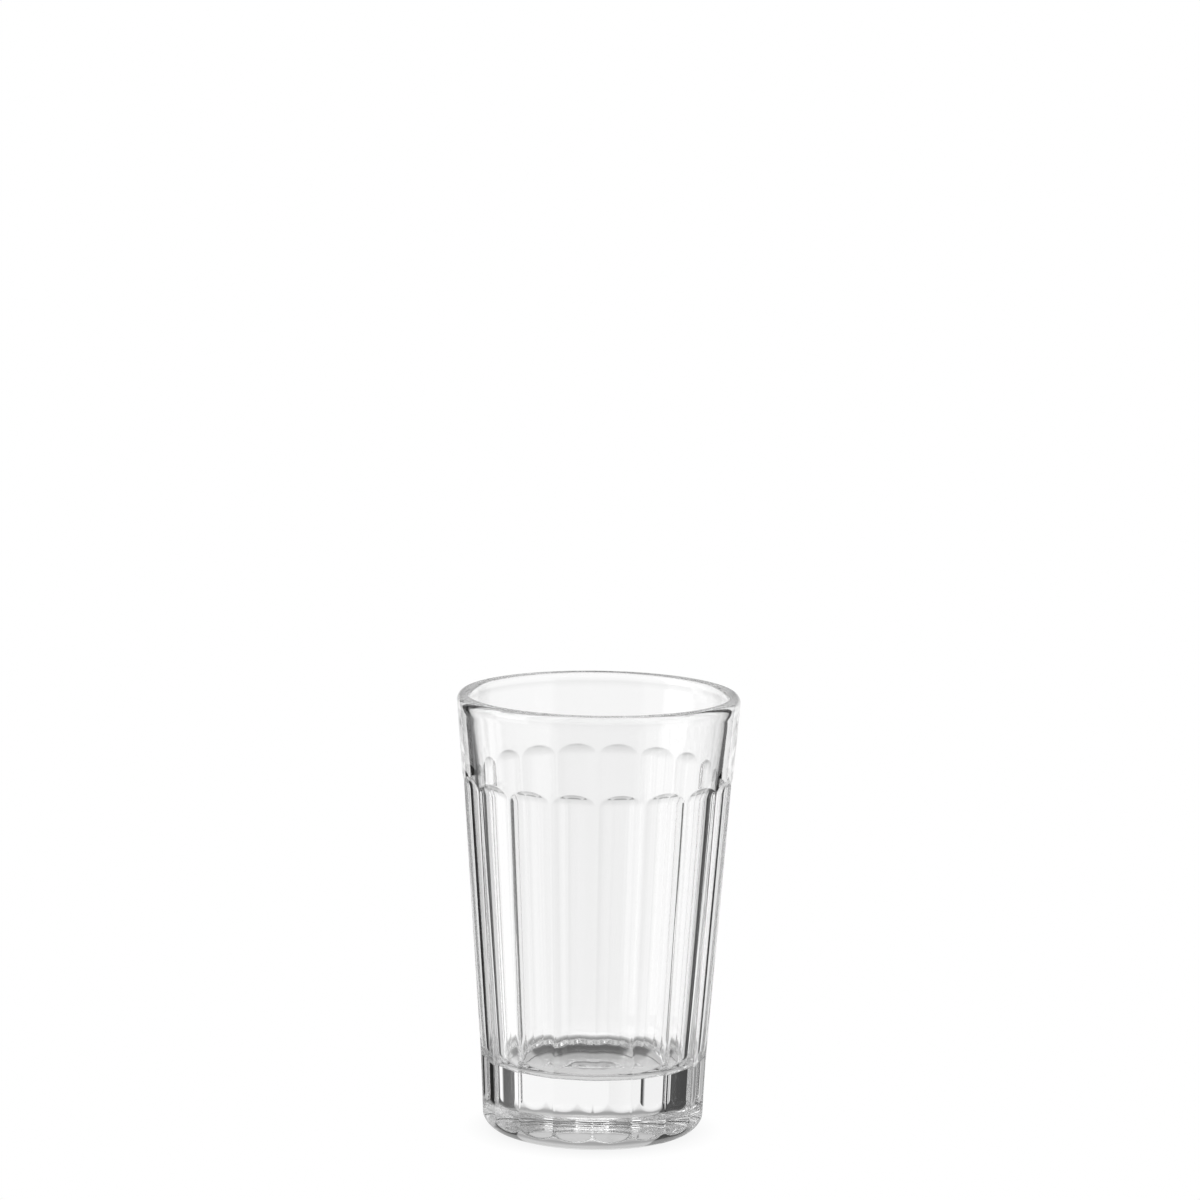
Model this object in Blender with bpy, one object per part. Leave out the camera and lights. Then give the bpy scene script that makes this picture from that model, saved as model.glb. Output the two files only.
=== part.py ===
"""Fluted espresso glass, pressed in one piece from clear glass.

The glass stands on +Z, with its origin in the middle of its underside. Its surface is one chain of closed rings:
up the cavity, over the rim, down the plain band, the flutes and the foot, and across the underside. Each ring is
worked out from the driving dimensions and bridged to the one before it.
"""

import math

import bmesh
import bpy

# Overall size, in metres
HEIGHT = 0.0860
RIM_DIAMETER = 0.0548

# Wall at the rim, whose edge is a half round, and at the shoulder, measured under a ridge
RIM_WALL = 0.0027
SHOULDER_WALL = 0.0029

# The shoulder is the level of the points between the flutes' round tops
SHOULDER_DROP = 0.0172
SHOULDER_DIAMETER = 0.0523

# Flutes: the ridge left between two of them, and how far a flute's floor is hollowed below a flat facet
FLUTE_COUNT = 18
RIDGE_WIDTH = 0.0005
FLUTE_HOLLOW = 0.00020

# Round top of a flute above the shoulder, and the length below the shoulder where it reaches its full depth
ARCH_RISE = 0.0019
RUNOUT_TAIL = 0.0005

# Foot: its height, and its diameters across the ridges at its top and at standing level before rounding
FOOT_HEIGHT = 0.0150
FOOT_TOP_DIAMETER = 0.0444
FOOT_DIAMETER = 0.0430
FOOT_ROUNDING = 0.0040

# Underside: the flat ring that the glass stands on, and the shallow hollow inside it
STANDING_RING = 0.0020
HOLLOW_DEPTH = 0.0010

# Cavity: solid glass below its floor, and the floor's diameter before rounding
FLOOR_THICKNESS = 0.0132
FLOOR_DIAMETER = 0.0372
FLOOR_ROUNDING = 0.0055

# Fineness of the mesh: steps across a flute, and along each rounded stretch
FLUTE_STEPS = 6
RIM_STEPS = 6
ARCH_STEPS = 4
FOOT_STEPS = 4
FLOOR_STEPS = 5
HOLLOW_STEPS = 3

# Levels and half angles that follow from the sizes above
RIM_LEVEL = HEIGHT - RIM_WALL / 2
SHOULDER_LEVEL = HEIGHT - SHOULDER_DROP
FLUTE_HALF_ANGLE = math.pi / FLUTE_COUNT - RIDGE_WIDTH / SHOULDER_DIAMETER
FOOT_LEAN = math.atan((FOOT_TOP_DIAMETER - FOOT_DIAMETER) / 2 / FOOT_HEIGHT)


def between(start, end, share):
    """The value a share of the way from start to end."""
    return start + (end - start) * share


def columns():
    """Angle and place across its flute, from -1 to 1, of every column of points. A ridge faces -Y."""
    places = [-math.cos(math.pi * step / FLUTE_STEPS) for step in range(FLUTE_STEPS + 1)]
    for flute in range(FLUTE_COUNT):
        middle = -math.pi / 2 + (flute + 0.5) * 2 * math.pi / FLUTE_COUNT
        for place in places:
            yield middle + place * FLUTE_HALF_ANGLE, place


def flute_depth(ridge_radius, place):
    """Depth of a flute below its ridges: a flat facet between them, hollowed a little more."""
    facet = ridge_radius * math.cos(FLUTE_HALF_ANGLE) / math.cos(place * FLUTE_HALF_ANGLE)
    return ridge_radius - facet + FLUTE_HOLLOW * (1 - place * place)


def ridge_radius(height):
    """Radius over the ridges: a cone for the band, one for the fluted wall and one for the foot."""
    rim, shoulder = RIM_DIAMETER / 2, SHOULDER_DIAMETER / 2
    foot_top, foot = FOOT_TOP_DIAMETER / 2, FOOT_DIAMETER / 2
    if height > SHOULDER_LEVEL:
        return between(shoulder, rim, (height - SHOULDER_LEVEL) / (RIM_LEVEL - SHOULDER_LEVEL))
    if height > FOOT_HEIGHT:
        return between(foot_top, shoulder, (height - FOOT_HEIGHT) / (SHOULDER_LEVEL - FOOT_HEIGHT))
    return between(foot, foot_top, height / FOOT_HEIGHT)


def plain(radius, height):
    """A round ring: the same radius and height in every column."""
    return lambda place: (radius, height)


def cavity_rings():
    """From the floor up the rounded corner and the tapered wall to just under the rim."""
    shoulder = SHOULDER_DIAMETER / 2 - SHOULDER_WALL
    lean = math.atan((shoulder - FLOOR_DIAMETER / 2) / (SHOULDER_LEVEL - FLOOR_THICKNESS))
    middle = FLOOR_DIAMETER / 2 - FLOOR_ROUNDING * (1 - math.sin(lean)) / math.cos(lean)
    rings = []
    for step in range(FLOOR_STEPS + 1):
        turn = between(-math.pi / 2, -lean, step / FLOOR_STEPS)
        radius = middle + FLOOR_ROUNDING * math.cos(turn)
        height = FLOOR_THICKNESS + FLOOR_ROUNDING * (1 + math.sin(turn))
        rings.append(plain(radius, height))
    rings.append(plain(shoulder, SHOULDER_LEVEL))
    return rings


def rim_rings():
    """Half round from the inside of the wall over the top to the outside."""
    rings = []
    for step in range(RIM_STEPS + 1):
        turn = math.pi * (1 - step / RIM_STEPS)
        radius = RIM_DIAMETER / 2 - RIM_WALL / 2 * (1 - math.cos(turn))
        rings.append(plain(radius, RIM_LEVEL + RIM_WALL / 2 * math.sin(turn)))
    return rings


def arch_ring(share):
    """Ring in a flute's run-out, from its round top on the band's own surface, at 0, to its full depth, at 1."""

    def at(place):
        top = SHOULDER_LEVEL + ARCH_RISE * math.sqrt(max(0.0, 1 - place * place))
        height = between(top, SHOULDER_LEVEL - RUNOUT_TAIL, share)
        radius = ridge_radius(height)
        return radius - flute_depth(radius, place) * share * (2 - share), height

    return at


def foot_top_ring(place):
    """Ring of full flutes where the wall meets the foot."""
    radius = FOOT_TOP_DIAMETER / 2
    return radius - flute_depth(radius, place), FOOT_HEIGHT


def foot_round_middle():
    """Radius of the circle that the middle of the foot's rounding runs on."""
    return FOOT_DIAMETER / 2 - FOOT_ROUNDING * (1 / math.cos(FOOT_LEAN) - math.tan(FOOT_LEAN))


def foot_ring(share):
    """Ring on the foot's rounding, from where the flutes run into it, at 0, to standing level, at 1."""

    def at(place):
        depth = flute_depth(FOOT_DIAMETER / 2, place) * math.cos(FOOT_LEAN)
        start = FOOT_LEAN + math.acos(max(-1.0, 1 - depth / FOOT_ROUNDING))
        turn = between(start, math.pi / 2, share)
        radius = foot_round_middle() + FOOT_ROUNDING * math.cos(turn)
        return radius, FOOT_ROUNDING * (1 - math.sin(turn))

    return at


def underside_rings():
    """Flat standing ring, then a shallow dome up to the flat middle of the underside."""
    edge = foot_round_middle() - STANDING_RING
    rings = []
    for step in range(HOLLOW_STEPS):
        inward = step / HOLLOW_STEPS
        rings.append(plain(edge * (1 - inward), HOLLOW_DEPTH * inward * (2 - inward)))
    return rings


def all_rings():
    """Every ring of the surface in order, from the cavity's floor to the middle of the underside."""
    rings = cavity_rings() + rim_rings()
    rings += [arch_ring(step / ARCH_STEPS) for step in range(ARCH_STEPS + 1)]
    rings.append(foot_top_ring)
    rings += [foot_ring(step / FOOT_STEPS) for step in range(FOOT_STEPS + 1)]
    return rings + underside_rings()


def add_loop(mesh, ring):
    """Adds one ring's points as a closed loop of edges, and returns its vertices and edges."""
    verts = []
    for angle, place in columns():
        radius, height = ring(place)
        verts.append(mesh.verts.new((radius * math.cos(angle), radius * math.sin(angle), height)))
    edges = [mesh.edges.new((verts[index - 1], verts[index])) for index in range(len(verts))]
    return verts, edges


def glass_material():
    """Clear, colourless, polished glass."""
    material = bpy.data.materials.new("clear_glass")
    material.use_nodes = True
    shader = material.node_tree.nodes["Principled BSDF"]
    shader.inputs["Base Color"].default_value = (0.97, 0.98, 0.98, 1.0)
    shader.inputs["Roughness"].default_value = 0.02
    shader.inputs["Metallic"].default_value = 0.0
    shader.inputs["Transmission Weight"].default_value = 1.0
    shader.inputs["IOR"].default_value = 1.52
    return material


def make_glass_body():
    """Bridges the rings into one closed surface, and closes the cavity's floor and the underside with flat faces."""
    mesh = bmesh.new()
    loops = [add_loop(mesh, ring) for ring in all_rings()]
    for (_, above), (_, below) in zip(loops, loops[1:]):
        bmesh.ops.bridge_loops(mesh, edges=above + below)
    mesh.faces.new(loops[0][0])
    mesh.faces.new(loops[-1][0])
    bmesh.ops.recalc_face_normals(mesh, faces=mesh.faces)
    data = bpy.data.meshes.new("glass_body")
    mesh.to_mesh(data)
    mesh.free()
    data.shade_smooth()
    data.set_sharp_from_angle(angle=math.radians(30))
    data.materials.append(glass_material())
    body = bpy.data.objects.new("glass_body", data)
    bpy.context.scene.collection.objects.link(body)


def main():
    for item in list(bpy.data.objects):
        bpy.data.objects.remove(item, do_unlink=True)
    make_glass_body()


main()
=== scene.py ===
"""Fluted espresso glass: the fine surface of the pressed glass, its finish, and a plain bright studio."""

import math

import bmesh
import bpy
from bpy.props import FloatProperty, FloatVectorProperty, IntProperty, PointerProperty
from bpy.types import Operator, Panel, PropertyGroup
from mathutils import Matrix, Vector


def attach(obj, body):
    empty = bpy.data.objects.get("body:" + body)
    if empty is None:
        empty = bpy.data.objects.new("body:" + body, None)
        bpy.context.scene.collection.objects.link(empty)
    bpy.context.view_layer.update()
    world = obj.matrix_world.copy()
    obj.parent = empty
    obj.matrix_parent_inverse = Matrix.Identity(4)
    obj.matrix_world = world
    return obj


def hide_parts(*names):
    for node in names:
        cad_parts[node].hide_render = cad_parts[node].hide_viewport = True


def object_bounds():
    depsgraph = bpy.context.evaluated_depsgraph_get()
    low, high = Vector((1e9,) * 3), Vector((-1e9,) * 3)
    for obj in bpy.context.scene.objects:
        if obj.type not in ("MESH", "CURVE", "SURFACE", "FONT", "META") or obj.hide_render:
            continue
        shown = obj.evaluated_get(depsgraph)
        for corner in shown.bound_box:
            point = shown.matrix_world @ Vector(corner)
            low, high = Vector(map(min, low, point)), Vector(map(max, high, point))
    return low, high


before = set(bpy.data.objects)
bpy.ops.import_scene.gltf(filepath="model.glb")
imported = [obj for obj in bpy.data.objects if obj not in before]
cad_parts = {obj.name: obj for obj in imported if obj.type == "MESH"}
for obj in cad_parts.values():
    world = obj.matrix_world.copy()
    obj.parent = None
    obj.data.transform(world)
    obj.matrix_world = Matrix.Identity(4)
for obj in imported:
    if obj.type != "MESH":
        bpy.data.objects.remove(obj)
CAD_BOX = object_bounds()

bl_info = {
    "name": "Fluted espresso glass",
    "version": (1, 0, 0),
    "blender": (4, 5, 0),
    "location": "View3D > Sidebar > Glass",
    "description": "Makes a fluted espresso glass and the plain studio it stands in",
    "category": "Object",
}

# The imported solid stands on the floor, so its top is the rim's level
FRAME_HEIGHT = CAD_BOX[1][2]

# Steps round the glass: across a flute, and over the ridge between two flutes
FLUTE_STEPS = 22
RIDGE_STEPS = 6

# How much closer the steps across a flute lie at its edges, from 0, even, to 1
FLUTE_CROWDING = 0.6

# Steps along the surface, from the middle of the cavity's floor over the rim to the underside
CAVITY_FLOOR_STEPS = 8
CAVITY_CORNER_STEPS = 24
CAVITY_WALL_STEPS = 6
CAVITY_BAND_STEPS = 4
RIM_BEAD_STEPS = 6
RIM_STEPS = 24
BAND_STEPS = 4
ARCH_STEPS = 40
WALL_STEPS = 12
KNEE_STEPS = 6
FOOT_STEPS = 5
FOOT_ROUND_STEPS = 30
STANDING_STEPS = 4
DOME_STEPS = 12

# Close rings reach this far past the flutes' run-out, up and down, and past the foot's upper edge
RUN_OUT_ABOVE = 0.0006
RUN_OUT_BELOW = 0.0004
KNEE_REACH = 0.0010

# Scales of the finish's patterns, how far the ripples are drawn out, and the fine skin's share of the relief
RIPPLE_SCALE = 240.0
RIPPLE_DRAW = 0.12
SKIN_SCALE = 900.0
SKIN_SHARE = 0.15
SCRATCH_SCALE = 2600.0

# Part of the scratches that shows, the heights over which the wear ends, and how far it dulls the glass
SCRATCH_RANGE = (0.45, 0.7)
WEAR_ENDS = (0.00003, 0.00025)
WEAR_SHADE = 0.97

# Heights over which the painted shade line round the foot's lowest edge ends, how soft its edges are, and its
# grey
SHADE_LINE_ENDS = (0.00008, 0.00012)
SHADE_LINE_BLUR = 0.0001
SHADE_LINE_GREY = 0.05

# The sheet is brighter over the table and dimmer at its top, and the ceiling dims to the sides
SWEEP_NEAR = 1.05
SWEEP_TOP = 0.8
SIDE_CEILING = 0.65

# How soft the edges of the cards and of the soft box are, and the cards' tops, in degrees
CARD_BLUR = math.radians(1.0)
BOX_BLUR = math.radians(2.0)
CARD_TOP_BLUR = 2.0

# Lower and upper edges in the surroundings, in degrees over the horizon
BOX_RISE = (-9, 50)
GLOW_RISE = (-35, -9)
OVERHEAD_RISE = (72, 78)

# The room is in front of the glass past this bearing to either side
FRONT_BEARING = math.radians(140.0)

# The floor and the shade on it are discs just under the glass, and the floor dims this close to it
FLOOR_RADIUS = 3.0
DISC_SIDES = 96
FLOOR_LEVEL = -0.0002
FLOOR_DIM_REACH = 0.005
FLOOR_DIM_SAMPLES = 12
SHADE_LEVEL = -0.0001

# Shade on the table that the glass shows: the lit middle's edge, the dark ring, and how it fades outwards
SHADE_RADIUS = 0.034
LIT_EDGE = 0.0165
DARK_RING = (0.0180, 0.0220)
SHADE_FADE = ((0.0250, 0.25), (0.0275, 0.30), (0.0305, 0.55), (SHADE_RADIUS, 0.90))
SHADE_SOLID = 0.95 * SHADE_RADIUS

# The shade is deep between these bearings behind the glass, and is blended with a pale grey beside it
DEEP_FROM = math.radians(-42.0)
DEEP_TO = math.radians(32.0)
DEEP_BLUR = math.radians(6.0)
BESIDE_SHARE = 0.7
BESIDE_GREY = 0.75

# Light is followed through this many turns, because the rim and the foot reflect it inside many times
LIGHT_TURNS = 128
LIGHT_PASSES = 32

# Pixels across the picture that the camera was matched to, and a full-frame sensor's width in millimetres
PICTURE_SIDE = 1200
SENSOR_WIDTH = 36.0

# The camera sees nothing nearer than this
NEAREST = 0.01


def length(name, description, default):
    """A size in metres that a user may change."""
    return FloatProperty(
        name=name, description=description, default=default, min=0.0, precision=5, unit="LENGTH"
    )


def level(name, description, default):
    """A brightness from 0, black, to 1, white."""
    return FloatProperty(
        name=name, description=description, default=default, min=0.0, max=1.0, subtype="FACTOR"
    )


def lamp(name, description, default):
    """A brightness that may be over white."""
    return FloatProperty(name=name, description=description, default=default, min=0.0, max=4.0)


def bearing(name, description, default):
    """A direction in radians, shown in degrees."""
    return FloatProperty(name=name, description=description, default=math.radians(default), subtype="ANGLE")


def tone(name, description, default):
    """A colour."""
    return FloatVectorProperty(
        name=name, description=description, default=default, size=3, min=0.0, max=1.0, subtype="COLOR"
    )


class GlassSizes(PropertyGroup):
    """Sizes of the glass."""

    height: length("Height", "From the table to the top of the rim", FRAME_HEIGHT)
    rim_diameter: length("Rim diameter", "Outside of the rim", 0.05482)
    rim_wall: length("Rim wall", "Thickness of the wall at the rim", 0.0023)
    rim_rounding: length("Rim rounding", "Height of the rounding over the rim", 0.0016)
    rim_bead: length("Rim bead", "How far the wall thickens inwards just under the rim", 0.0002)
    rim_bead_height: length("Rim bead height", "Height over which the wall thickens", 0.0018)
    shoulder_drop: length("Shoulder drop", "From the top of the rim to the points between the flutes", 0.0172)
    shoulder_diameter: length("Shoulder diameter", "Over the ridges where the flutes begin", 0.05226)
    shoulder_wall: length("Shoulder wall", "Thickness of the wall under a ridge at the shoulder", 0.0029)
    flute_count: IntProperty(name="Flutes", description="Flutes round the glass", default=18, min=6, max=40)
    ridge_width: length("Ridge width", "Left between two flutes", 0.0005)
    ridge_softness: length("Ridge softness", "How far a flute's edge is melted into its ridge", 0.00003)
    arch_hollow: length("Hollow at the arches", "Flute floor below a flat facet at the shoulder", 0.00025)
    wall_hollow: length("Hollow of the wall", "Flute floor below a flat facet just over the foot", 0.00016)
    foot_hollow: length("Hollow of the foot", "Flute floor below a flat facet on the foot", 0.00016)
    arch_length: length("Arch length", "Length in which a flute runs out into the band", 0.0024)
    arch_tail: length("Arch tail", "Part of that length below the shoulder", 0.0005)
    foot_height: length("Foot height", "Level of the foot's upper edge", 0.0150)
    foot_top_diameter: length("Foot top diameter", "Over the ridges at the foot's upper edge", 0.04436)
    foot_diameter: length("Foot diameter", "Over the ridges at table level, before rounding", 0.04296)
    foot_rounding: length("Foot rounding", "Radius of the foot's lower edge", 0.0040)
    foot_blend: FloatProperty(
        name="Foot blend",
        description="How sharply the flutes end on the foot's rounding",
        default=6.0,
        min=1.0,
    )
    standing_ring: length("Standing ring", "Width of the flat ring that the glass stands on", 0.0083)
    dome_depth: length("Dome depth", "How far the underside rises inside the standing ring", 0.0008)
    floor_thickness: length("Floor thickness", "Solid glass under the cavity", 0.0133)
    floor_diameter: length("Floor diameter", "Across the cavity's floor, before rounding", 0.0372)
    floor_slope: bearing("Floor slope", "Slope of the cavity's dished floor at its edge", 2.5)
    floor_rounding: length("Floor rounding", "Radius of the cavity's lower corner", 0.0035)


class GlassFinish(PropertyGroup):
    """Finish of the glass."""

    tint: tone("Tint", "Colour of the glass", (1.0, 1.0, 1.0))
    refraction: FloatProperty(
        name="Refraction",
        description="Index of refraction of soda lime glass",
        default=1.52,
        min=1.0,
        max=2.0,
    )
    ripple: length("Ripple", "Height of the slow waves left by pressing", 0.000004)
    scuff: level("Scuff", "Roughness of the worn standing ring", 0.18)
    # The darkened line is painted shade: a near-black dull ring round the foot's lowest edge, where the foot
    # meets the table
    shade_line: level("Darkened line", "How dull the ground line round the standing ring is", 0.9)
    shade_line_from: length("Darkened line from", "Inner radius of the ground line", 0.0179)
    shade_line_to: length("Darkened line to", "Outer radius of the ground line", 0.0185)


class StudioLook(PropertyGroup):
    """Light, floor and camera of the studio."""

    sweep: level("Sweep", "Lit white sheet behind the glass", 0.98)
    falloff: level("Falloff", "How far the sheet dims towards the left card", 0.06)
    falloff_from: bearing("Falloff from", "Where the sheet begins to dim", -3.0)
    falloff_to: bearing("Falloff to", "Where the sheet is dimmest", -14.0)
    upper_wall: level("Upper wall", "Dim wall over the sheet", 0.37)
    ceiling: level("Ceiling", "Pale wall and ceiling over the dim wall", 0.6)
    overhead: lamp("Overhead", "Brightness of the box straight overhead", 2.0)
    table: level("Table", "White table seen steeply from above", 0.88)
    sides: level("Sides", "Room beside the glass", 0.62)
    upper_sides: level("Upper sides", "Dark room over the sides", 0.2)
    front: level("Front", "Dim room before the glass", 0.2)
    box: lamp("Soft box", "Brightness of the soft box and of the bright patch of table", 1.8)
    box_from: bearing("Box from", "Edge of the soft box on the left, nearest the sheet", -84.0)
    box_to: bearing("Box to", "Its other edge", -118.0)
    glow_from: bearing("Glow from", "Edge of the bright patch of table on the left, nearest the sheet", -67.0)
    glow_to: bearing("Glow to", "Its other edge", -84.0)
    left_card: level("Left card", "Black card left of the sheet", 0.02)
    left_card_from: bearing("Left card from", "Inner edge of the left card", -27.0)
    left_card_to: bearing("Left card to", "Outer edge of the left card", -50.0)
    right_card: level("Right card", "Black card right of the sheet", 0.01)
    right_card_from: bearing("Right card from", "Inner edge of the right card", 35.0)
    right_card_to: bearing("Right card to", "Outer edge of the right card", 60.0)
    card_top: bearing("Card top", "Upper edge of the cards over the horizon", 12.0)
    under_glass: level("Under the glass", "Table under the glass, lit through it", 0.5)
    contact_shade: level("Contact shade", "Darkest part of the table, close round the foot", 0.03)
    floor_colour: tone("Floor colour", "Colour of the floor", (1.0, 1.0, 1.0))
    floor_shade: level("Floor shade", "How pale the floor stays right beside the foot", 0.9)
    camera_aside: FloatProperty(
        name="Camera aside",
        description="From the glass's axis, to the right",
        default=-0.00008,
        precision=5,
        unit="LENGTH",
    )
    camera_distance: length("Camera distance", "From the glass's axis, along the table", 0.99665)
    camera_height: length("Camera height", "Over the table", 0.25420)
    camera_tilt: bearing("Camera tilt", "Downward tilt of the camera", 8.564)
    camera_roll: bearing("Camera roll", "Roll of the camera", 0.878)
    focal_pixels: FloatProperty(
        name="Focal length", description="In pixels of the picture", default=5234.9, min=1.0
    )


class Value:
    """An output of a node. Operators on it add Math nodes, and [] gives another output of its node."""

    def __init__(self, tree, socket):
        self.tree = tree
        self.socket = socket

    def __getitem__(self, name):
        return Value(self.tree, self.socket.node.outputs[name])

    def math(self, operation, *others):
        """A Math node that has this value as its first term."""
        return add_math(self.tree, operation, self, *others)

    def __add__(self, other):
        return self.math("ADD", other)

    def __radd__(self, other):
        return add_math(self.tree, "ADD", other, self)

    def __sub__(self, other):
        return self.math("SUBTRACT", other)

    def __rsub__(self, other):
        return add_math(self.tree, "SUBTRACT", other, self)

    def __mul__(self, other):
        return self.math("MULTIPLY", other)

    def __rmul__(self, other):
        return add_math(self.tree, "MULTIPLY", other, self)

    def __truediv__(self, other):
        return self.math("DIVIDE", other)

    def __rtruediv__(self, other):
        return add_math(self.tree, "DIVIDE", other, self)


def add_math(tree, operation, *terms):
    """Adds a Math node on values and numbers, and gives its output."""
    node = tree.nodes.new("ShaderNodeMath")
    node.operation = operation
    for entry, term in zip(node.inputs, terms):
        plug(tree, entry, term)
    return Value(tree, node.outputs[0])


def plug(tree, entry, term):
    """Links a Value to an input, or sets the input to a plain number or colour."""
    if isinstance(term, Value):
        tree.links.new(term.socket, entry)
    else:
        entry.default_value = term


class Nodes:
    """An empty node tree to write a shader in."""

    def __init__(self, owner):
        owner.use_nodes = True
        self.tree = owner.node_tree
        self.tree.nodes.clear()

    def add(self, kind, settings=None, sockets=None, output=0):
        """Adds a node: its settings first, then its sockets' values or links. Gives one of its outputs."""
        node = self.tree.nodes.new("ShaderNode" + kind)
        for name, setting in (settings or {}).items():
            if name == "stops":
                self.set_stops(node.color_ramp, setting)
            else:
                setattr(node, name, setting)
        for name, term in (sockets or {}).items():
            plug(self.tree, node.inputs[name], term)
        return Value(self.tree, node.outputs[output]) if node.outputs else None

    @staticmethod
    def set_stops(ramp, stops):
        """Puts grey stops, as places and levels, on a colour ramp."""
        while len(ramp.elements) < len(stops):
            ramp.elements.new(1.0)
        for element, (place, amount) in zip(ramp.elements, stops):
            element.position = place
            element.color = grey(amount)

    def step(self, value, start, end):
        """0 before start, 1 after end, and a smooth rise between them."""
        settings = {"interpolation_type": "SMOOTHSTEP"}
        return self.add("MapRange", settings, {"Value": value, "From Min": start, "From Max": end})

    def stripe(self, value, start, end, blur):
        """1 between start and end and 0 outside them, with soft edges."""
        return self.step(value, start - blur, start + blur) - self.step(value, end - blur, end + blur)

    def blend(self, factor, first, second):
        """A colour between two colours, through the Mix node's colour sockets."""
        return self.add("Mix", {"data_type": "RGBA"}, {0: factor, 6: first, 7: second}, output=2)

    def noise(self, place, scale, detail, roughness):
        """A noise pattern."""
        sockets = {"Vector": place, "Scale": scale, "Detail": detail, "Roughness": roughness}
        return self.add("TexNoise", None, sockets)

    def distance(self, place):
        """Length of a vector."""
        return self.add("VectorMath", {"operation": "LENGTH"}, {0: place})["Value"]

    def scaled(self, place, scale):
        """A vector with each of its parts scaled."""
        return self.add("VectorMath", {"operation": "MULTIPLY"}, {0: place, 1: scale})


def grey(amount):
    """A grey colour."""
    return (amount, amount, amount, 1.0)


def shaded(colour, share=1.0):
    """A colour at a share of its brightness."""
    return (*[share * part for part in colour], 1.0)


def between(start, end, share):
    """The value a share of the way from start to end."""
    return start + (end - start) * share


def shares(steps):
    """Even shares from just after 0 to 1."""
    return [step / steps for step in range(1, steps + 1)]


def melt(first, second, softness):
    """The smaller of two radii, with the corner between them rounded off."""
    share = min(1.0, max(0.0, 0.5 + 0.5 * (second - first) / softness))
    return between(second, first, share) - softness * share * (1.0 - share)


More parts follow.
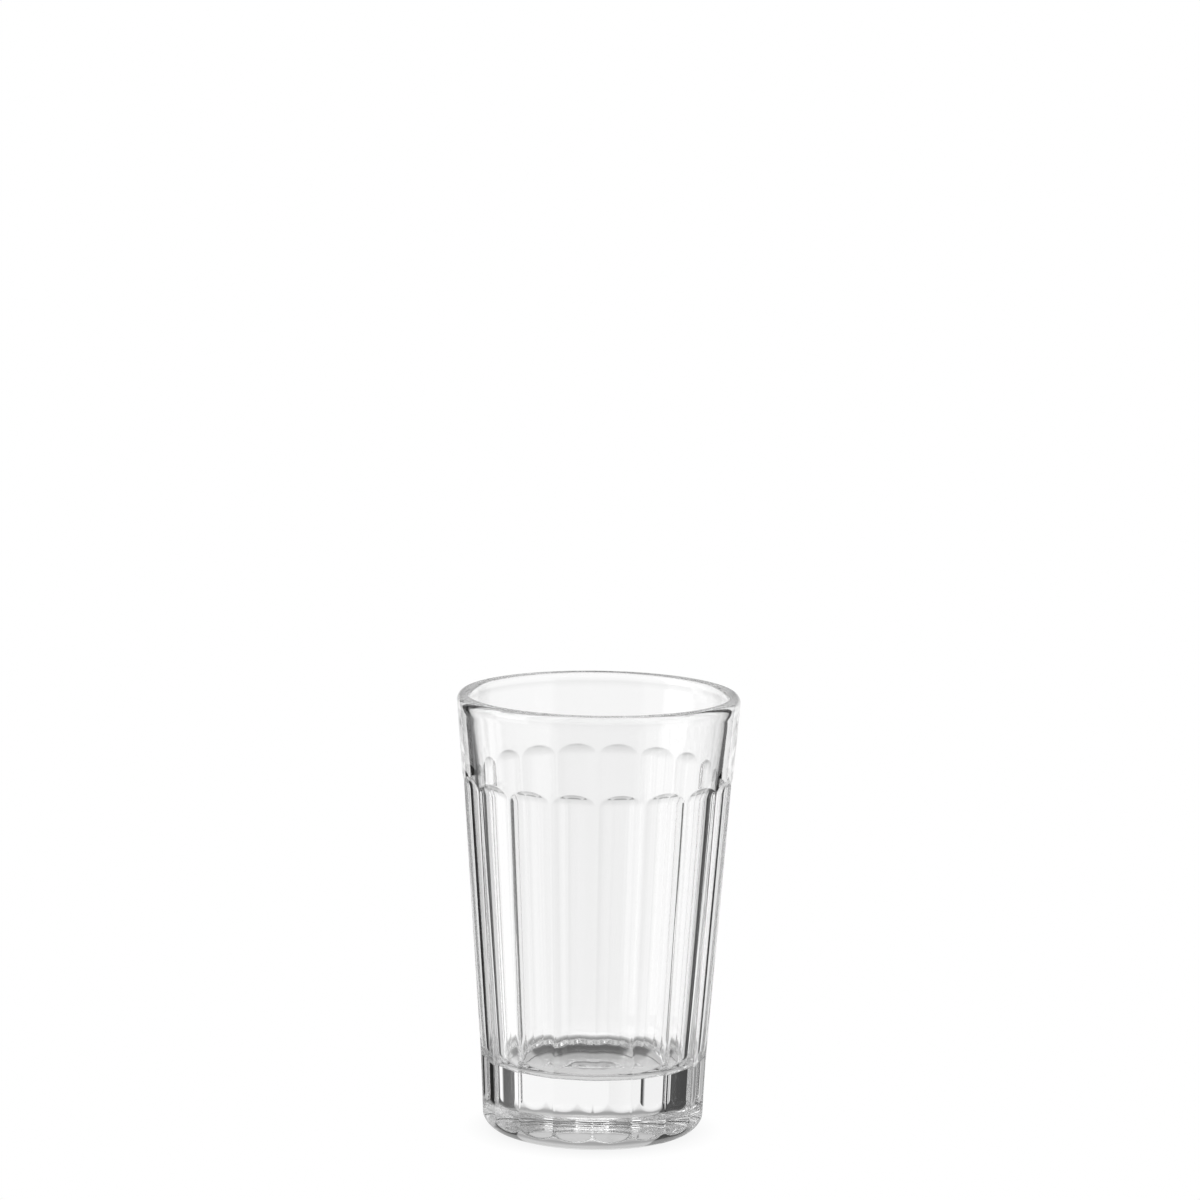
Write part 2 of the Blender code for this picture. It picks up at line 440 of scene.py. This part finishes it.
class GlassShape:
    """Surface of the glass, worked out from its sizes. A ridge faces -Y."""

    def __init__(self, sizes):
        self.sizes = sizes
        self.rim_level = sizes.height - sizes.rim_rounding
        self.shoulder_level = sizes.height - sizes.shoulder_drop
        self.run_level = self.shoulder_level - sizes.arch_tail
        self.half_turn = math.pi / sizes.flute_count
        self.half_flute = self.half_turn - sizes.ridge_width / sizes.shoulder_diameter
        flat_depth = sizes.shoulder_diameter / 2 * (1 - math.cos(self.half_flute))
        self.arch_depth = flat_depth + sizes.arch_hollow
        self.base_radius = sizes.foot_diameter / 2 - sizes.foot_rounding

    def columns(self):
        """Angle of every column of points, and its angle from the middle of its flute."""
        places = []
        for step in range(FLUTE_STEPS):
            share = step / FLUTE_STEPS
            eased = between(share, (1 - math.cos(math.pi * share)) / 2, FLUTE_CROWDING)
            places.append(self.half_flute * (2 * eased - 1))
        for step in range(RIDGE_STEPS):
            places.append(between(self.half_flute, 2 * self.half_turn - self.half_flute, step / RIDGE_STEPS))
        result = []
        for flute in range(self.sizes.flute_count):
            middle = -math.pi / 2 + (2 * flute + 1) * self.half_turn
            for place in places:
                folded = place if place <= self.half_turn else place - 2 * self.half_turn
                result.append((middle + place, folded))
        return result

    def ridge_radius(self, height):
        """Radius over the ridges: a cone each for the band, the wall and the foot."""
        sizes = self.sizes
        rim, shoulder = sizes.rim_diameter / 2, sizes.shoulder_diameter / 2
        foot_top, foot = sizes.foot_top_diameter / 2, sizes.foot_diameter / 2
        if height > self.shoulder_level:
            band = self.rim_level - self.shoulder_level
            return between(shoulder, rim, (height - self.shoulder_level) / band)
        if height > sizes.foot_height:
            wall = self.shoulder_level - sizes.foot_height
            return between(foot_top, shoulder, (height - sizes.foot_height) / wall)
        return between(foot, foot_top, height / sizes.foot_height)

    def hollow(self, height):
        """How far a flute's floor is hollowed below a flat facet."""
        sizes = self.sizes
        if height <= sizes.foot_height:
            return sizes.foot_hollow
        share = (height - sizes.foot_height) / (self.shoulder_level - sizes.foot_height)
        return between(sizes.wall_hollow, sizes.arch_hollow, min(1.0, share))

    def run_out(self, height):
        """How far a flute's floor has risen at a height, where it runs out into the band."""
        share = max(0.0, height - self.run_level) / self.sizes.arch_length
        return self.arch_depth * share**2

    def rounding_depth(self, height):
        """How far the foot's rounded lower edge lies inside the ridges at a height."""
        radius = self.sizes.foot_rounding
        drop = min(1.0, max(0.0, 1 - height / radius))
        return radius * (1 - math.sqrt(1 - drop**2))

    def outer_radius(self, height, turn):
        """Radius of the outside, where turn is the angle from the middle of a flute."""
        sizes = self.sizes
        ridge = self.ridge_radius(height)
        flat = ridge * math.cos(self.half_flute) / math.cos(turn)
        depth = ridge - flat + self.hollow(height) * (1 - (turn / self.half_flute) ** 2)
        depth -= self.run_out(height)
        radius = melt(ridge, ridge - depth, sizes.ridge_softness)
        if height < sizes.foot_rounding:
            flute, rounding = max(0.0, ridge - radius), self.rounding_depth(height)
            power = sizes.foot_blend
            radius = ridge - (flute**power + rounding**power) ** (1 / power)
        return radius

    def cavity_profile(self):
        """Radius and height of each ring from the middle of the cavity's floor up to under the rim."""
        sizes = self.sizes
        shoulder = sizes.shoulder_diameter / 2 - sizes.shoulder_wall
        floor, corner, slope = sizes.floor_diameter / 2, sizes.floor_rounding, sizes.floor_slope
        lean = math.atan((shoulder - floor) / (self.shoulder_level - sizes.floor_thickness))
        dip = math.tan(slope) / 2
        # The corner touches the dished floor at its edge and the leaning wall at its upper end
        reach = math.cos(slope) * math.tan(lean) - 1 / math.cos(lean) + math.sin(slope)
        edge = (floor + corner * reach) / (1 - dip * math.tan(lean))
        middle = edge - corner * math.sin(slope)
        middle_level = sizes.floor_thickness + dip * edge + corner * math.cos(slope)
        profile = []
        for share in shares(CAVITY_FLOOR_STEPS):
            profile.append((edge * share, sizes.floor_thickness + dip * edge * share**2))
        for share in shares(CAVITY_CORNER_STEPS):
            turn = between(slope - math.pi / 2, -lean, share)
            profile.append((middle + corner * math.cos(turn), middle_level + corner * math.sin(turn)))
        low_radius, low_height = profile[-1]
        for share in shares(CAVITY_WALL_STEPS):
            radius = between(low_radius, shoulder, share)
            profile.append((radius, between(low_height, self.shoulder_level, share)))
        rim = sizes.rim_diameter / 2 - sizes.rim_wall
        bead_start = 1 - sizes.rim_bead_height / (self.rim_level - self.shoulder_level)
        for share in shares(CAVITY_BAND_STEPS):
            up = bead_start * share
            profile.append((between(shoulder, rim, up), between(self.shoulder_level, self.rim_level, up)))
        for share in shares(RIM_BEAD_STEPS):
            up = between(bead_start, 1.0, share)
            radius = between(shoulder, rim, up) - sizes.rim_bead * share**2
            profile.append((radius, between(self.shoulder_level, self.rim_level, up)))
        return profile

    def rim_profile(self):
        """Rounding over the rim, from inside to outside."""
        sizes = self.sizes
        profile = []
        half_wall = (sizes.rim_wall + sizes.rim_bead) / 2
        for share in shares(RIM_STEPS):
            turn = math.pi * (1 - share)
            radius = sizes.rim_diameter / 2 - half_wall * (1 - math.cos(turn))
            profile.append((radius, self.rim_level + sizes.rim_rounding * math.sin(turn)))
        return profile

    def outer_heights(self):
        """Heights of the rings down the outside, closest in the flutes' run-out and the foot's rounding."""
        sizes = self.sizes
        stretches = [
            (self.run_level + sizes.arch_length + RUN_OUT_ABOVE, BAND_STEPS),
            (self.run_level - RUN_OUT_BELOW, ARCH_STEPS),
            (sizes.foot_height + KNEE_REACH, WALL_STEPS),
            (sizes.foot_height - KNEE_REACH, KNEE_STEPS),
            (sizes.foot_rounding, FOOT_STEPS),
        ]
        heights = []
        above = self.rim_level
        for below, steps in stretches:
            heights += [between(above, below, share) for share in shares(steps)]
            above = below
        for share in shares(FOOT_ROUND_STEPS):
            heights.append(sizes.foot_rounding * (1 - math.sin(math.pi / 2 * share)))
        return heights

    def underside_profile(self):
        """Flat standing ring, then the dome up to the middle of the underside."""
        sizes = self.sizes
        edge = self.base_radius - sizes.standing_ring
        profile = [(between(self.base_radius, edge, share), 0.0) for share in shares(STANDING_STEPS)]
        for share in shares(DOME_STEPS)[:-1]:
            profile.append((edge * (1 - share), sizes.dome_depth * share * (2 - share)))
        return profile

    def rings(self):
        """Every ring of the surface in order, as a radius and height for each column."""
        turns = [turn for _, turn in self.columns()]
        result = [[point] * len(turns) for point in self.cavity_profile() + self.rim_profile()]
        for height in self.outer_heights():
            result.append([(self.outer_radius(height, turn), height) for turn in turns])
        return result + [[point] * len(turns) for point in self.underside_profile()]


def fill_glass_mesh(shape, name):
    """Mesh of the whole glass: its rings joined by quads, and a fan at the middle of each end."""
    mesh = bmesh.new()
    angles = [angle for angle, _ in shape.columns()]
    count = len(angles)
    loops = []
    for ring in shape.rings():
        loop = []
        for angle, (radius, height) in zip(angles, ring):
            loop.append(mesh.verts.new((radius * math.cos(angle), radius * math.sin(angle), height)))
        loops.append(loop)
    for above, below in zip(loops, loops[1:]):
        for column in range(count):
            after = (column + 1) % count
            mesh.faces.new((above[column], above[after], below[after], below[column]))
    for loop in (loops[0], loops[-1]):
        middle = mesh.verts.new((0.0, 0.0, loop[0].co.z))
        for column in range(count):
            mesh.faces.new((middle, loop[column], loop[(column + 1) % count]))
    bmesh.ops.recalc_face_normals(mesh, faces=mesh.faces)
    data = bpy.data.meshes.new(name)
    mesh.to_mesh(data)
    mesh.free()
    data.shade_smooth()
    return data


def make_glass_finish(finish):
    """Clear pressed glass: slow ripples along the flutes, a worn standing ring, and painted shade as a dark
    line round the foot's lowest edge.
    """
    material = bpy.data.materials.new("clear_glass")
    shade = Nodes(material)
    place = shade.add("TexCoord")["Object"]
    height = shade.add("SeparateXYZ", None, {"Vector": place})["Z"]
    # Ripples are long up and down and short round the glass
    drawn = shade.scaled(place, (1.0, 1.0, RIPPLE_DRAW))
    ripple = shade.noise(drawn, RIPPLE_SCALE, detail=2.0, roughness=0.45)
    skin = shade.noise(place, SKIN_SCALE, detail=2.0, roughness=0.5)
    relief = ripple + SKIN_SHARE * skin
    bump = shade.add("Bump", None, {"Strength": 1.0, "Distance": finish.ripple, "Height": relief})
    # Fine scratches where the glass stands and is slid about
    scratch = shade.noise(place, SCRATCH_SCALE, detail=4.0, roughness=0.7)
    worn = (1.0 - shade.step(height, *WEAR_ENDS)) * shade.step(scratch, *SCRATCH_RANGE)
    clear = {
        "Base Color": shade.blend(worn, shaded(finish.tint), shaded(finish.tint, WEAR_SHADE)),
        "Roughness": finish.scuff * worn,
        "IOR": finish.refraction,
        "Transmission Weight": 1.0,
        "Normal": bump,
    }
    shader = shade.add("BsdfPrincipled", None, clear)
    # Painted shade: a near-black dull line round the foot's lowest edge, just outside the standing ring,
    # where the foot meets the table
    out = shade.distance(shade.scaled(place, (1.0, 1.0, 0.0)))
    line = shade.stripe(out, finish.shade_line_from, finish.shade_line_to, SHADE_LINE_BLUR)
    darkened = (1.0 - shade.step(height, *SHADE_LINE_ENDS)) * line
    dull = shade.add("BsdfDiffuse", None, {"Color": grey(SHADE_LINE_GREY)})
    surface = shade.add("MixShader", None, {0: finish.shade_line * darkened, 1: shader, 2: dull})
    shade.add("OutputMaterial", None, {"Surface": surface})
    return material


class GLASS_OT_make_body(Operator):
    """Makes the glass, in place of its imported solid"""

    bl_idname = "espresso_glass.make_body"
    bl_label = "Glass body"

    def execute(self, context):
        shape = GlassShape(context.scene.glass_sizes)
        mesh = fill_glass_mesh(shape, "glass_surface")
        mesh.materials.append(make_glass_finish(context.scene.glass_finish))
        glass = bpy.data.objects.new("glass_surface", mesh)
        context.scene.collection.objects.link(glass)
        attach(glass, "root")
        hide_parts("glass_body")
        return {"FINISHED"}


def at_rise(degrees):
    """Place on a scale that runs from straight down, 0, to straight up, 1."""
    return degrees / 180.0 + 0.5


class Surroundings:
    """What the glass sees round it, by bearing and by height over the horizon."""

    def __init__(self, shade, look):
        self.shade = shade
        self.look = look
        towards = shade.add("SeparateXYZ", None, {"Vector": shade.add("TexCoord")["Generated"]})
        self.turn = towards["X"].math("ARCTAN2", towards["Y"])
        self.rise = towards["Z"].math("ARCSINE") / math.pi + 0.5

    def by_rise(self, stops):
        """Levels at heights in degrees, blended between them."""
        places = [(at_rise(degrees), amount) for degrees, amount in stops]
        return self.shade.add("ValToRGB", {"stops": places}, {"Fac": self.rise})

    def patch(self, start, end, heights):
        """1 between two bearings and two heights and 0 outside them, with soft edges."""
        low, high = [at_rise(degrees) for degrees in heights]
        upright = self.shade.stripe(self.rise, low, high, BOX_BLUR / math.pi)
        return self.shade.stripe(self.turn, start, end, BOX_BLUR) * upright

    def behind(self):
        """The table, the lit sheet, the dim wall over it and the pale ceiling."""
        look, shade = self.look, self.shade
        levels = self.by_rise(
            [
                (-90, look.table),
                (-52, look.table),
                (-40, SWEEP_NEAR * look.sweep),
                (-20, SWEEP_NEAR * look.sweep),
                (-10, look.sweep),
                (-1, SWEEP_TOP * look.sweep),
                (5, look.upper_wall),
                (9, look.upper_wall),
                (17, look.ceiling),
                (90, look.ceiling),
            ]
        )
        dimmed = 1.0 - shade.step(self.turn, look.falloff_to, look.falloff_from)
        return shade.blend(1.0 - look.falloff * dimmed, grey(0.0), levels)

    def around(self):
        """The table, the sides, the dark room over them and the ceiling, and the dim room in front."""
        look, shade = self.look, self.shade
        levels = self.by_rise(
            [
                (-90, look.table),
                (-45, look.table),
                (-30, look.sides),
                (-5, look.sides),
                (8, look.upper_sides),
                (48, look.upper_sides),
                (62, SIDE_CEILING * look.ceiling),
                (90, SIDE_CEILING * look.ceiling),
            ]
        )
        aside = self.turn.math("ABSOLUTE")
        before = shade.step(aside, FRONT_BEARING - BOX_BLUR, FRONT_BEARING + BOX_BLUR)
        return shade.blend(before, levels, grey(look.front))

    def room(self):
        """All of the surroundings: the sheet between two black cards, the room, and the bright boxes."""
        look, shade = self.look, self.shade
        sheet = shade.stripe(self.turn, look.left_card_from, look.right_card_from, CARD_BLUR)
        room = shade.blend(sheet, self.around(), self.behind())
        top = math.degrees(look.card_top)
        under = 1.0 - shade.step(self.rise, at_rise(top - CARD_TOP_BLUR), at_rise(top + CARD_TOP_BLUR))
        cards = [
            (look.left_card, look.left_card_to, look.left_card_from),
            (look.right_card, look.right_card_from, look.right_card_to),
        ]
        for amount, start, end in cards:
            card = under * shade.stripe(self.turn, start, end, CARD_BLUR)
            room = shade.blend(card, room, grey(amount))
        box = self.patch(look.box_to, look.box_from, BOX_RISE)
        glow = self.patch(look.glow_to, look.glow_from, GLOW_RISE)
        room = shade.blend(box + glow, room, grey(look.box))
        low, high = [at_rise(degrees) for degrees in OVERHEAD_RISE]
        return shade.blend(shade.step(self.rise, low, high), room, grey(look.overhead))


def show_studio(look):
    """Surroundings: white to the camera, plain to the floor, and a whole studio to the glass."""
    world = bpy.data.worlds.new("studio")
    bpy.context.scene.world = world
    shade = Nodes(world)
    room = Surroundings(shade, look).room()
    ray = shade.add("LightPath")
    plain = shade.blend(ray["Is Camera Ray"], grey(look.sides), grey(1.0))
    by_glass = ray["Is Glossy Ray"].math("MAXIMUM", ray["Is Transmission Ray"])
    light = shade.add("Background", None, {"Color": shade.blend(by_glass, plain, room), "Strength": 1.0})
    shade.add("OutputWorld", None, {"Surface": light})


def add_disc(name, radius, height, material):
    """A round flat sheet of the stage."""
    mesh = bmesh.new()
    bmesh.ops.create_circle(mesh, cap_ends=True, segments=DISC_SIDES, radius=radius)
    data = bpy.data.meshes.new(name)
    mesh.to_mesh(data)
    mesh.free()
    data.materials.append(material)
    disc = bpy.data.objects.new(name, data)
    disc.location.z = height
    bpy.context.scene.collection.objects.link(disc)
    return disc


def make_floor(look):
    """White floor that keeps a faint shade round the foot. Only the camera sees it."""
    material = bpy.data.materials.new("white_floor")
    shade = Nodes(material)
    near = shade.add("AmbientOcclusion", {"samples": FLOOR_DIM_SAMPLES}, {"Distance": FLOOR_DIM_REACH})["AO"]
    colour = shade.blend(near, shaded(look.floor_colour, look.floor_shade), shaded(look.floor_colour))
    light = shade.add("Emission", None, {"Color": colour, "Strength": 1.0})
    shade.add("OutputMaterial", None, {"Surface": light})
    floor = add_disc("floor", FLOOR_RADIUS, FLOOR_LEVEL, material)
    floor.visible_glossy = False
    floor.visible_transmission = False
    floor.visible_diffuse = False


def make_contact_shade(look):
    """The shaded table under and close round the foot, as the glass shows it."""
    material = bpy.data.materials.new("contact_shade")
    shade = Nodes(material)
    place = shade.add("NewGeometry")["Position"]
    out = shade.distance(place)
    stops = [(0.0, look.under_glass), (LIT_EDGE, look.under_glass)]
    stops += [(radius, look.contact_shade) for radius in DARK_RING]
    stops += SHADE_FADE
    places = [(radius / SHADE_RADIUS, amount) for radius, amount in stops]
    colour = shade.add("ValToRGB", {"stops": places}, {"Fac": out / SHADE_RADIUS})
    # The shade is deep behind the glass and lighter beside it
    split = shade.add("SeparateXYZ", None, {"Vector": place})
    turn = split["X"].math("ARCTAN2", split["Y"])
    beside = 1.0 - shade.stripe(turn, DEEP_FROM, DEEP_TO, DEEP_BLUR)
    colour = shade.blend(BESIDE_SHARE * beside, colour, grey(BESIDE_GREY))
    light = shade.add("Emission", None, {"Color": colour, "Strength": 1.0})
    # The shade ends softly at the disc's edge
    clear = shade.add("BsdfTransparent")
    edge = shade.step(out, SHADE_SOLID, SHADE_RADIUS)
    mixed = shade.add("MixShader", None, {0: edge, 1: light, 2: clear})
    shade.add("OutputMaterial", None, {"Surface": mixed})
    disc = add_disc("contact_shade", SHADE_RADIUS, SHADE_LEVEL, material)
    disc.visible_camera = False
    disc.visible_diffuse = False
    disc.visible_shadow = False


def place_camera(look):
    """Camera at the picture's own place."""
    data = bpy.data.cameras.new("camera")
    data.sensor_width = SENSOR_WIDTH
    data.lens = look.focal_pixels * SENSOR_WIDTH / PICTURE_SIDE
    data.clip_start = NEAREST
    camera = bpy.data.objects.new("camera", data)
    bpy.context.scene.collection.objects.link(camera)
    spot = Matrix.Translation(Vector((look.camera_aside, -look.camera_distance, look.camera_height)))
    aim = Matrix.Rotation(math.pi / 2 - look.camera_tilt, 4, "X")
    camera.matrix_world = spot @ aim @ Matrix.Rotation(look.camera_roll, 4, "Z")
    bpy.context.scene.camera = camera


class GLASS_OT_make_studio(Operator):
    """Sets the floor, the surroundings and the camera round the glass"""

    bl_idname = "espresso_glass.make_studio"
    bl_label = "Studio"

    def execute(self, context):
        look = context.scene.studio_look
        show_studio(look)
        make_floor(look)
        make_contact_shade(look)
        place_camera(look)
        scene = context.scene
        scene.view_settings.view_transform = "Standard"
        scene.cycles.max_bounces = LIGHT_TURNS
        scene.cycles.transmission_bounces = LIGHT_PASSES
        scene.cycles.glossy_bounces = LIGHT_TURNS
        return {"FINISHED"}


class GLASS_PT_panel(Panel):
    """Lists the pieces and the studio, with their values"""

    bl_idname = "GLASS_PT_panel"
    bl_label = "Fluted espresso glass"
    bl_space_type = "VIEW_3D"
    bl_region_type = "UI"
    bl_category = "Glass"

    def draw(self, context):
        for operator, names in PANEL_ROWS:
            self.layout.operator(operator.bl_idname)
            for name in names:
                values = getattr(context.scene, name)
                for entry in values.__annotations__:
                    self.layout.prop(values, entry)


PANEL_ROWS = [
    (GLASS_OT_make_body, ("glass_sizes", "glass_finish")),
    (GLASS_OT_make_studio, ("studio_look",)),
]

CLASSES = (GlassSizes, GlassFinish, StudioLook, GLASS_OT_make_body, GLASS_OT_make_studio, GLASS_PT_panel)


def register():
    for item in CLASSES:
        bpy.utils.register_class(item)
    bpy.types.Scene.glass_sizes = PointerProperty(type=GlassSizes)
    bpy.types.Scene.glass_finish = PointerProperty(type=GlassFinish)
    bpy.types.Scene.studio_look = PointerProperty(type=StudioLook)


def unregister():
    del bpy.types.Scene.studio_look
    del bpy.types.Scene.glass_finish
    del bpy.types.Scene.glass_sizes
    for item in reversed(CLASSES):
        bpy.utils.unregister_class(item)


def main():
    register()
    bpy.ops.espresso_glass.make_body()
    bpy.ops.espresso_glass.make_studio()


if __name__ == "__main__":
    main()
